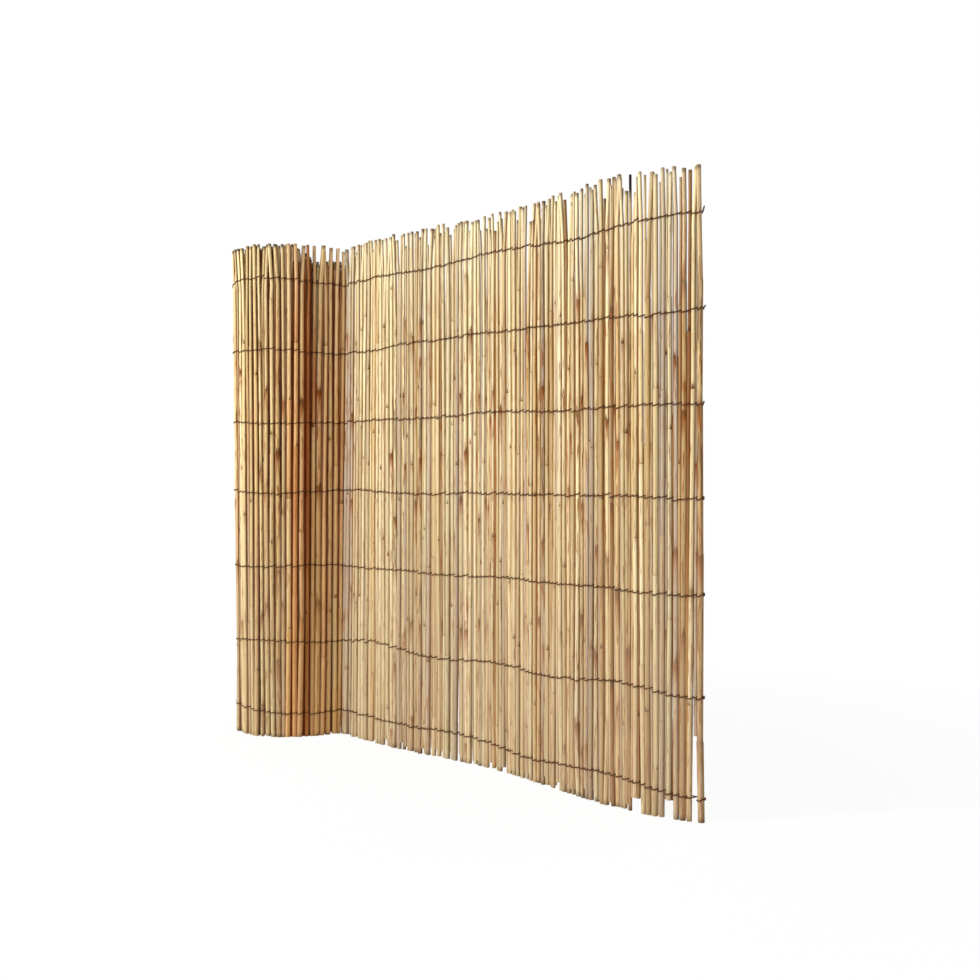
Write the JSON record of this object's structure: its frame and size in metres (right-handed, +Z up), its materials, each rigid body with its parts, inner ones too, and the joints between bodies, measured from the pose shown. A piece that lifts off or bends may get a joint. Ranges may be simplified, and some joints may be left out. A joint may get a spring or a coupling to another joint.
{
  "type": "reed screening roll",
  "caption": "Standing roll of natural reed screening, bound with rows of wire, with an open bore and its free end pulled out in a gentle wave.",
  "frame": {"origin": "on the ground, at the middle of the screen's outline", "axes": "+Z up along the reeds, +X from the roll towards the free end, +Y away from the face that carries the front strands"},
  "size_m": [1.1804, 0.2336, 1],
  "materials": {
    "reed": "dry, satin",
    "wire": "dulled and browned"
  },
  "bodies": {
    "root": {"reed_roll": "reed", "reed_sheet": "reed", "binding_wire_1": "wire", "binding_wire_2": "wire", "binding_wire_3": "wire", "binding_wire_4": "wire", "binding_wire_5": "wire", "binding_wire_6": "wire", "binding_wire_7": "wire"}
  },
  "joints": []
}
